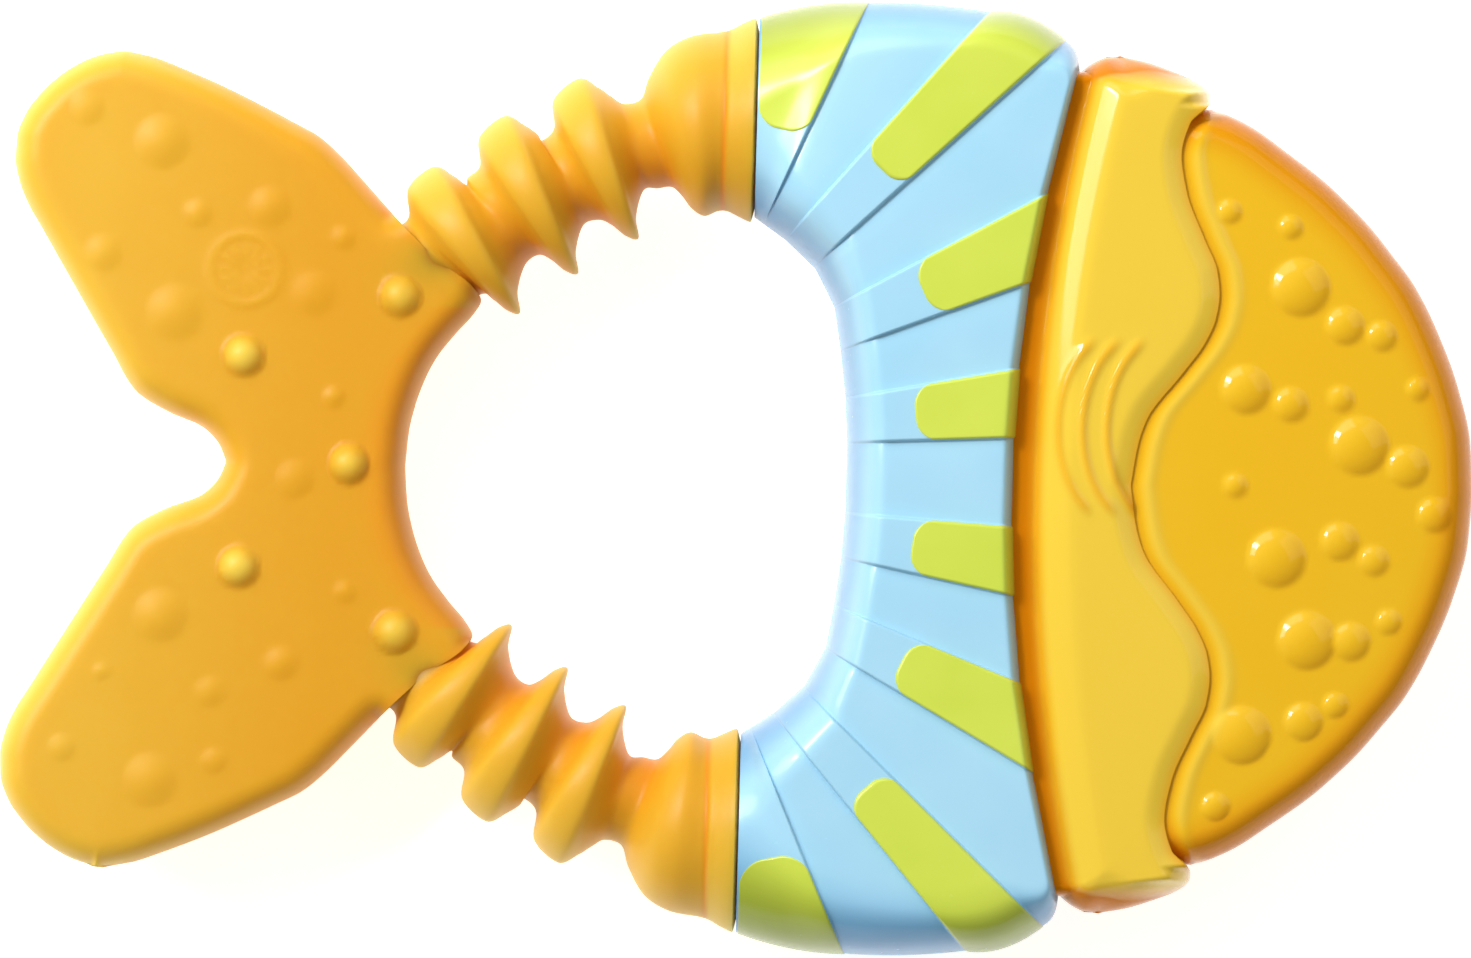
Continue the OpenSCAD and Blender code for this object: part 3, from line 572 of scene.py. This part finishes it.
def body_skin(front, rise, per_unit, across):
    """One half shell: rows across the fan, closed by a flat lip at the parting plane and caps at the end
    faces."""
    u = body_places(per_unit)
    t = 0.5 - 0.5 * np.cos(math.pi * np.linspace(0, 1, across))
    t = 0.6 * t + 0.4 * (0.5 - 0.5 * np.cos(math.pi * t))
    width = fan_lines(u)[2]
    grid_u = np.repeat(u[:, None], across, 1)
    depth = t[None, :] * width[:, None]
    points = body_points(grid_u, depth, rise)
    points[..., 2] = np.maximum(points[..., 2], 0) + BODY_LIP
    inside = points[:, [-1, 0]].copy()
    lip_width = 1.2
    ways = (points[:, -1, :2] - points[:, 0, :2]) / width[:, None] * lip_width
    inside[:, 0, :2] -= ways
    inside[:, 1, :2] += ways
    rim = np.concatenate([points, inside], 1)
    n = rim.shape[1]
    ends = []
    for row in (0, -1):
        middle = rim[row].mean(0)
        ring = np.stack([rim[row], np.repeat(middle[None], n, 0)])
        ends.append(ring)
    parts = [(rim, quads(len(u), n, closed=True))] + [(e, quads(2, n, closed=True)) for e in ends]
    # The rim mark is painted shade at the long edges; the lip and the end caps take it in full.
    shade = np.concatenate([painted_body_shade(grid_u, depth), np.ones((len(u), 2))], 1)
    sign = 1 if front else -1
    parts = [(np.concatenate([p[..., :2], MID + sign * p[..., 2:]], -1), f) for p, f in parts]
    return parts, {"rim": [shade, np.ones((4, n))]}


def stripe_skin(index, front, rise, along, across):
    """A green inlay: a patch of the band's own surface, lifted a little. It reaches from the parting plane to
    an end square to the band's middle line, with round corners, and its rim dives into the band."""
    proud, sink, bare = 0.05, 0.3, 0.16
    start, end = BANDS[index]
    wide = float(fan_width(np.array([(start + end) / 2]))[0])
    margin = bare / wide
    first = start + (0.02 if start == 0 else margin)
    last = end - (0.02 if end == LAST else margin)
    q = np.linspace(-1, 1, across)
    u = (first + last) / 2 + np.sign(q) * (1 - (1 - abs(q)) ** 1.6) * (last - first) / 2
    outer, inner, width = fan_lines(np.append(u, (start + end) / 2))
    way = (inner - outer) / width[:, None]
    axis, root, reach = way[-1], outer[-1], STRIPE_REACH[index] * width[-1]
    outer, way = outer[:-1], way[:-1]
    square = (reach + (root - outer) @ axis) / (way @ axis)
    aside = (outer + way * square[:, None] - root) @ np.array([-axis[1], axis[0]])
    half = np.ptp(aside) / 2
    beyond = np.clip(abs(aside - (aside.max() + aside.min()) / 2) / half * 4 - 1, 0, 3) / 3
    stop = square - 0.75 * half * (1 - np.sqrt(np.clip(1 - beyond**2, 0, 1)))
    depth = np.linspace(0, 1, along)[:, None] ** 1.3 * stop[None, :]
    grid_u = np.repeat(u[None, :], along, 0)
    face = body_points(grid_u, depth, rise, lift=proud)
    sunk = body_points(grid_u, depth, rise, lift=-sink)
    for layer in (face, sunk):
        layer[..., 2] = np.maximum(layer[..., 2], 0) + BODY_LIP
    full = np.concatenate([sunk[:1], face, sunk[-1:]], 0)
    left = np.concatenate([sunk[:1, :1], sunk[:, :1], sunk[-1:, :1]], 0)
    right = np.concatenate([sunk[:1, -1:], sunk[:, -1:], sunk[-1:, -1:]], 0)
    full = np.concatenate([left, full, right], 1)
    sign = 1 if front else -1
    points = np.concatenate([full[..., :2], MID + sign * full[..., 2:]], -1)
    # The rim mark is the shell's painted shade, taken over the stripe.
    return points, quads(*points.shape[:2], flip=front), padded(painted_body_shade(grid_u, depth))


# ---- the head ----

# Half the height of the face and of the band. Outlines are (height above the middle line, x).
FACE_SPAN, BAND_SPAN = 33.0, 37.45
FACE_RIGHT = [
    (0, 64.0), (4.5, 63.7), (9.3, 62.5), (14.4, 60.45), (18.1, 58.45), (20.7, 56.45), (23.1, 54.45),
    (25.1, 52.45), (26.9, 50.45), (29.8, 46.5), (31.2, 44.5), (32.2, 42.6), (32.75, 41.2), (33.0, 40.2),
]
WAVE = [
    (0, 33.8), (3.5, 34.35), (5.8, 35.1), (9.7, 38), (12.4, 39.9), (14.6, 40.8), (16.5, 41.05), (18.6, 40.8),
    (21.4, 39.6), (25.3, 38), (28.6, 37.45), (31.3, 38.1), (33.3, 40.0), (34.2, 40.35), (34.9, 39.9),
    (35.5, 38.9), (36.3, 36.9), (37, 34.8), (37.45, 32.6),
]
# The band's edge against the body is an arc about the ring; above the arc's end a corner turns it.
ARC_X, ARC_RADIUS, ARC_END = 24.85, 152.0, 35.3
BAND_CORNER = [
    (0, 24.85), (35.3, 28.95), (36.0, 29.2), (36.6, 29.7), (37.1, 30.5), (37.4, 31.4), (37.45, 32.2),
]
# Bumps of the face are (x, y, width).
FACE_BUMPS = [
    (41.7, 23.8, 2.1), (47, 22.6, 2.1), (48, 17.4, 5), (51.9, 14.2, 3.3), (55.1, 13.4, 2.6), (43.5, 8.5, 4.2),
    (47.4, 7.3, 3), (51.7, 7.9, 2.3), (58.3, 8.9, 2), (53.4, 3.9, 5), (57.6, 2.2, 3.6), (42.8, 0.2, 2.1),
    (60, -1.9, 3), (51.9, -4.4, 3.3), (46.5, -6, 5), (54.9, -6, 2.6), (49.3, -13, 5), (53.1, -13, 3.3),
    (56.3, -11.2, 2.2), (43.9, -21.3, 5), (49.2, -20, 3.3), (51.9, -18.5, 2.2), (41.8, -27.5, 2.5),
]


def band_left(y):
    """The band's edge against the body: the body's own arc as a parabola, with a rounded corner, brought up
    to the body by the width of the seam."""
    arc = ARC_X + y * y / (2 * ARC_RADIUS)
    seam = 0.45 * ease(-abs(y), -37, -35)
    return np.where(abs(y) < ARC_END, arc, through(abs(y), BAND_CORNER)) - seam


def wave(y):
    """The wavy edge between the band and the face."""
    return through(abs(y), WAVE)


def head_rows(top, rows, left, right, columns):
    """A grid of rows across the head, crowded near its outline. Left and right give x for each row's y."""
    turn = np.sin(np.linspace(-math.pi / 2, math.pi / 2, rows))
    y = top * (0.6 * turn + 0.4 * np.linspace(-1, 1, rows))
    a, b = left(y), right(y)
    s = np.linspace(0, 1, columns)
    s = 0.7 * (0.5 - 0.5 * np.cos(math.pi * s)) + 0.3 * s
    x = a[:, None] + (b - a)[:, None] * s
    return x, np.repeat(y[:, None], columns, 1)


def padded(grid):
    """A grid with its first and last row and column doubled."""
    grid = np.concatenate([grid[:1], grid, grid[-1:]], 0)
    return np.concatenate([grid[:, :1], grid, grid[:, -1:]], 1)


def closed_half(x, y, height, front):
    """A half that stands just off the parting plane, with its rim turned in a little towards the middle."""
    face = np.stack([x, y, np.maximum(height, 0) + HEAD_LIP], -1)
    middle = face.reshape(-1, 3).mean(0)
    face = padded(face)
    inset = 0.02
    for edge in (np.s_[0], np.s_[-1], np.s_[:, 0], np.s_[:, -1]):
        face[edge][..., :2] += (middle[:2] - face[edge][..., :2]) * inset
        face[edge][..., 2] = HEAD_LIP
    sign = 1 if front else -1
    points = np.concatenate([face[..., :2], MID + sign * face[..., 2:]], -1)
    return points, quads(*points.shape[:2])


def face_skin(front, half, rows, columns):
    """The scaled face: a dome with a rounded rim, deep amber at the rim, painted shade in the groove along
    the wave and painted light on the ridge beside it, and round bumps painted lighter and darker on their two
    sides.
    Its left part lies hidden under the band."""
    hidden = 30.0

    def left(v):
        return np.full_like(v, hidden)

    def right(v):
        return through(abs(v), FACE_RIGHT)

    x, y = head_rows(FACE_SPAN, rows, left, right, columns)
    line = np.linspace(-FACE_SPAN, FACE_SPAN, 300)
    outline = np.stack([right(line), line], 1)
    outline = np.concatenate([[(hidden, -FACE_SPAN)], outline, [(hidden, FACE_SPAN)]])
    depth = distance_to(x, y, outline)
    height = (half - 0.25 + 0.25 * edge_rise(depth, 18)) * edge_rise(depth, 3.4, 2.6)
    domes = [(bx, by, w, 0.17 * w**0.85) for bx, by, w in FACE_BUMPS]
    bumps = swell(x, y, domes, 0.8)
    height = height + bumps * ease(depth, 0.4, 1.6)
    # A groove and then a low ridge run along the wave, which slants: the distance is about 0.8 of that in x.
    past = (x - wave(y)) * 0.8
    height = height + 0.16 * bell(past, 1.2, 0.45) - 0.06 * bell(past, 0.3, 0.35)
    rim = 1 - ease(depth, -0.5, 5.2)
    # Along the wave the colour is deeper in the groove, a painted shade, and paler on the low ridge, a
    # painted light.
    rim = 0.3 + 0.7 * rim + 0.15 * bell(past, 0.2, 0.4) - 0.2 * bell(past, 1.2, 0.5)
    # Each bump is painted a little paler on its upper left, towards the lamps, and deeper on its lower right:
    # a painted highlight and a painted shade.
    pale = swell(x + 0.3, y - 0.3, domes, 0.8) - swell(x - 0.35, y + 0.35, domes, 0.8)
    rim = np.clip(rim - 0.25 * pale, 0, 1)
    points, faces = closed_half(x, y, height, front)
    return points, faces, padded(rim)


def band_skin(front, half, rows, columns):
    """The gill band: a plate above the face. Towards the body it has a wide chamfer and then a round edge.
    Along the wave it is rounded down to just above the face. Three nested crescents stand on it as gills."""

    def flange(v):
        """How far the band reaches under the body's seam: a millimetre, and nothing at its ends."""
        return 1.0 - ease(abs(v), 35.0, 36.0)

    def left_end(v):
        return band_left(v) - flange(v)

    x, y = head_rows(BAND_SPAN, rows, left_end, wave, columns)
    line = np.linspace(-BAND_SPAN, BAND_SPAN, 500)
    from_left = distance_to(x, y, np.stack([band_left(line), line], 1))
    from_left = np.where(x < band_left(y), 0, from_left)
    from_right = distance_to(x, y, np.stack([wave(line), line], 1))
    past_face = ease(abs(y), 32.6, 34.4)
    chamfer = 0.21 * (np.hypot(4.1 - from_left, 0.4) + 4.1 - from_left)
    height = (half - chamfer) * edge_rise(from_left, 2.6, 2.4)
    low_step = (half - 2.2) * (flange(y) > 0.02) * edge_rise(36.0 - abs(y), 1.2)
    height = np.maximum(height, low_step)
    # Beside the face the edge stops at the face's own height; past its ends it is rounded right down.
    step = 0.942 * (1 - past_face)
    beside = ease(from_right, -0.4, 2.0)
    beyond = edge_rise(from_right, 1.0 + 2.3 * past_face, 2.0)
    slope = beside * (1 - past_face) + beyond * past_face
    height = height * (step + (1 - step) * slope)
    gills = 0
    for k in range(3):
        across = x - (36.6 - 2.1 * k)
        along = (y - 5) * 0.62
        angle = abs(np.arctan2(along, -across))
        gills = gills + bell(np.hypot(across, along), 5, 0.32) * ease(-angle, -1.25, -0.95)
    height = height + 0.22 * gills
    rim = 1 - ease(np.minimum(from_left, from_right + 1.4), 0.3, 2.4)
    # The band's ends, past the face, are painted deeper still: painted shade.
    rim = np.clip(rim + 0.35 * gills + ease(abs(y), 34.2, 36.2), 0, 1)
    points, faces = closed_half(x, y, height, front)
    return points, faces, padded(rim)


# ---- settings ----


class TeetherSizes(bpy.types.PropertyGroup):
    """Sizes that a user may change, in metres."""

    fin_thickness: FloatProperty(
        name="Fin thickness",
        description="Thickness of the tail fin",
        default=9 * MM,
        unit="LENGTH",
    )
    band_rise: FloatProperty(
        name="Band rise",
        description="How far a fan band stands above the gaps",
        default=0.45 * MM,
        unit="LENGTH",
    )
    face_half: FloatProperty(
        name="Face half thickness",
        description="Half the thickness of the face",
        default=10.2 * MM,
        unit="LENGTH",
    )
    camera_turn: FloatProperty(
        name="Camera turn",
        description="Turn of the camera about its own axis",
        default=math.radians(1.5),
        subtype="ANGLE",
    )


class TeetherColours(bpy.types.PropertyGroup):
    """Colours that a user may change."""

    body: FloatVectorProperty(
        name="Body",
        description="Colour of the hard body",
        subtype="COLOR",
        default=linear("#B0E1F8")[:3],
        min=0,
        max=1,
    )
    stripes: FloatVectorProperty(
        name="Stripes",
        description="Colour of the second-shot stripes",
        subtype="COLOR",
        default=linear("#DAE75A")[:3],
        min=0,
        max=1,
    )


def sizes():
    return bpy.context.scene.teether_sizes


def colours():
    return bpy.context.scene.teether_colours


# ---- operators ----


class TEETHER_OT_tail(bpy.types.Operator):
    """Make the soft tail: the fin, both ribbed arms and their cups, in one moulding"""

    bl_idname = "teether.tail"
    bl_label = "Soft tail"

    def execute(self, context):
        fin, fin_warmth = fin_surface(270, 110, sizes().fin_thickness / MM)
        parts = [(fin, quads(fin.shape[0], fin.shape[1], closed=True))]
        warmths = [fin_warmth]
        for side in (1, -1):
            arm, warmth = arm_surface(side, 220, 56)
            parts.append((arm, quads(arm.shape[0], arm.shape[1], closed=True)))
            warmths.append(warmth)
        piece = make_piece("soft_tail", parts, {"warmth": warmths})
        arms = [f"{side}_arm_{part}" for side in ("upper", "lower") for part in ("ribs", "neck", "cup")]
        dress(piece, soft_elastomer(), "tail_amber", "tail_fin", *arms)
        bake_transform(piece)
        return {"FINISHED"}


class TEETHER_OT_body(bpy.types.Operator):
    """Make the two hard half shells with their raised fan bands"""

    bl_idname = "teether.body"
    bl_label = "Hard body"

    def execute(self, context):
        # The last colour is the painted shade at the shell's turned edges.
        blue = moulded_abs("body_abs_polished_moulded", colours().body, "#A9DDF6", "#4E95C8")
        for front, name in ((True, "front"), (False, "back")):
            piece = make_piece(f"{name}_shell", *body_skin(front, sizes().band_rise / MM, 12, 90))
            dress(piece, blue, "body_blue", f"body_{name}_shell")
            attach(piece, "ring")
        return {"FINISHED"}


class TEETHER_OT_stripes(bpy.types.Operator):
    """Make the green second-shot stripes, eight on each side"""

    bl_idname = "teether.stripes"
    bl_label = "Green stripes"

    def execute(self, context):
        # The last colour is the painted shade at the stripes' turned edges.
        green = moulded_abs("stripe_abs_second_shot", colours().stripes, "#D2E250", "#95A42C")
        for front, name in ((True, "front"), (False, "back")):
            for k in range(len(BANDS)):
                points, faces, shade = stripe_skin(k, front, sizes().band_rise / MM, 60, 40)
                piece = make_piece(f"{name}_green_{k + 1}", [(points, faces)], {"rim": [shade]})
                dress(piece, green, "stripe_green", f"{name}_stripe_{k + 1}")
                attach(piece, "ring")
        return {"FINISHED"}


class TEETHER_OT_head(bpy.types.Operator):
    """Make the soft head: the scaled face and the gill band, front and back"""

    bl_idname = "teether.head"
    bl_label = "Soft head"

    def execute(self, context):
        face_stops = [(0.0, "#F6D24A"), (0.3, "#F3BE20"), (0.6, "#ECA212"), (1.0, "#D97C05")]
        band_stops = [(0.0, "#F5CF42"), (0.4, "#F1B426"), (1.0, "#DB8108")]
        face_look = clear_amber("face_eva_clear_moulded", face_stops, 0.07, 0.11)
        band_look = clear_amber("band_eva_clear_moulded", band_stops, 0.09, 0.14)
        for front, name in ((True, "front"), (False, "back")):
            points, faces, rim = face_skin(front, sizes().face_half / MM, 300, 130)
            face = make_piece(f"{name}_face", [(points, faces)], {"rim": [rim]})
            dress(face, face_look, "head_amber", f"head_{name}_shell")
            points, faces, rim = band_skin(front, MID - HEAD_LIP, 320, 70)
            band = make_piece(f"{name}_gill_band", [(points, faces)], {"rim": [rim]})
            dress(band, band_look, "head_amber")
            for piece in (face, band):
                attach(piece, "ring")
        return {"FINISHED"}


class TEETHER_OT_inner(bpy.types.Operator):
    """Finish the inner CAD pieces: the anchors and the water"""

    bl_idname = "teether.inner"
    bl_label = "Inner pieces"

    def execute(self, context):
        # Moulded polypropylene is milky white and waxy.
        waxy = moulded_abs("anchor_pp_moulded", "#F2F1EA", "#E9E8E0", "#E2E0D6")
        # Still water is clear; the tint is what the amber wall lends it.
        water, tree, shader = new_material("water_clear")
        ripple = mottle(tree, 6)
        tint = ramp_node(tree, ripple.outputs["Fac"], [(0.3, "#F4E2B4"), (0.7, "#F8ECCB")])
        tree.links.new(tint.outputs["Color"], shader.inputs["Base Color"])
        shader.inputs["IOR"].default_value = 1.333
        shader.inputs["Roughness"].default_value = 0.03
        looks = {"upper_arm_anchor": waxy, "lower_arm_anchor": waxy, "head_water": water}
        for node, look in looks.items():
            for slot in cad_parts[node].material_slots:
                slot.material = look
        return {"FINISHED"}


class TEETHER_OT_stage(bpy.types.Operator):
    """Make the pale table, the soft lights and the camera"""

    bl_idname = "teether.stage"
    bl_label = "Studio"

    def execute(self, context):
        mesh = bpy.data.meshes.new("table_top")
        reach, low = 6.0, -0.5 * MM
        corners = [(x * reach, y * reach, low) for x, y in ((-1, -1), (1, -1), (1, 1), (-1, 1))]
        mesh.from_pydata(corners, [], [(0, 1, 2, 3)])
        table = bpy.data.objects.new("table_top", mesh)
        context.scene.collection.objects.link(table)
        # Matt white laminate, lit a little from within as a light table is, so shadows stay faint.
        look, tree, shader = new_material("table_matt_white")
        speck = mottle(tree, 40)
        tint = ramp_node(tree, speck.outputs["Fac"], [(0.3, "#F4F4F4"), (0.7, "#F8F8F8")])
        tree.links.new(tint.outputs["Color"], shader.inputs["Base Color"])
        shader.inputs["Roughness"].default_value = 0.6
        shader.inputs["Emission Color"].default_value = (1, 1, 1, 1)
        shader.inputs["Emission Strength"].default_value = 0.75
        mesh.materials.append(look)

        world = bpy.data.worlds.new("studio")
        world.use_nodes = True
        sky = world.node_tree.nodes["Background"]
        sky.inputs["Color"].default_value = (1, 1, 1, 1)
        sky.inputs["Strength"].default_value = 0.22
        context.scene.world = world
        aim = Vector((0, 0, MID * MM))
        # Each light is its name, its place and its size in metres, and its power in watts.
        for name, place, size, power in (
            ("key_softbox", (-0.22, 0.46, 0.44), (0.4, 0.4), 1.4),
            ("left_strip", (-0.42, 0.17, 0.4), (0.2, 0.28), 1.3),
            ("small_softbox", (-0.28, 0.2, 0.42), (0.1, 0.1), 1.2),
            ("right_softbox", (0.4, 0.25, 0.45), (0.5, 0.5), 0.7),
        ):
            light = bpy.data.lights.new(name, "AREA")
            light.shape, light.energy = "RECTANGLE", power
            light.size, light.size_y = size
            lamp = bpy.data.objects.new(name, light)
            lamp.location = place
            lamp.rotation_euler = (aim - Vector(place)).to_track_quat("-Z", "Y").to_euler()
            context.scene.collection.objects.link(lamp)

        # A long lens straight above, so far off that the picture is as wide as the part and a hair more.
        lens, sensor, across = 180.0, 36.0, 128.8 * MM
        camera = bpy.data.cameras.new("camera")
        camera.lens, camera.sensor_width = lens, sensor
        camera.clip_start, camera.clip_end = 0.05, 20
        holder = bpy.data.objects.new("camera", camera)
        place = Matrix.Translation((-0.26 * MM, -0.35 * MM, MID * MM + across * lens / sensor))
        holder.matrix_world = place @ Matrix.Rotation(sizes().camera_turn, 4, "Z")
        context.scene.collection.objects.link(holder)
        context.scene.camera = holder
        context.scene.view_settings.view_transform = "Standard"
        return {"FINISHED"}


OPERATORS = (
    TEETHER_OT_stage,
    TEETHER_OT_tail,
    TEETHER_OT_body,
    TEETHER_OT_stripes,
    TEETHER_OT_head,
    TEETHER_OT_inner,
)


class TEETHER_PT_panel(bpy.types.Panel):
    """Lists the sizes, the colours and the operators"""

    bl_idname = "TEETHER_PT_panel"
    bl_label = "Fish teething ring"
    bl_space_type = "VIEW_3D"
    bl_region_type = "UI"
    bl_category = "Teether"

    def draw(self, context):
        for group in (context.scene.teether_sizes, context.scene.teether_colours):
            for name in group.bl_rna.properties.keys():
                if name not in ("rna_type", "name"):
                    self.layout.prop(group, name)
        for operator in OPERATORS:
            self.layout.operator(operator.bl_idname)


CLASSES = (TeetherSizes, TeetherColours, *OPERATORS, TEETHER_PT_panel)


def register():
    for item in CLASSES:
        bpy.utils.register_class(item)
    bpy.types.Scene.teether_sizes = PointerProperty(type=TeetherSizes)
    bpy.types.Scene.teether_colours = PointerProperty(type=TeetherColours)


def unregister():
    del bpy.types.Scene.teether_colours
    del bpy.types.Scene.teether_sizes
    for item in reversed(CLASSES):
        bpy.utils.unregister_class(item)


def main():
    register()
    for operator in OPERATORS:
        family, name = operator.bl_idname.split(".")
        if getattr(getattr(bpy.ops, family), name)() != {"FINISHED"}:
            raise RuntimeError(f"{operator.bl_label} did not finish")


if __name__ == "__main__":
    main()
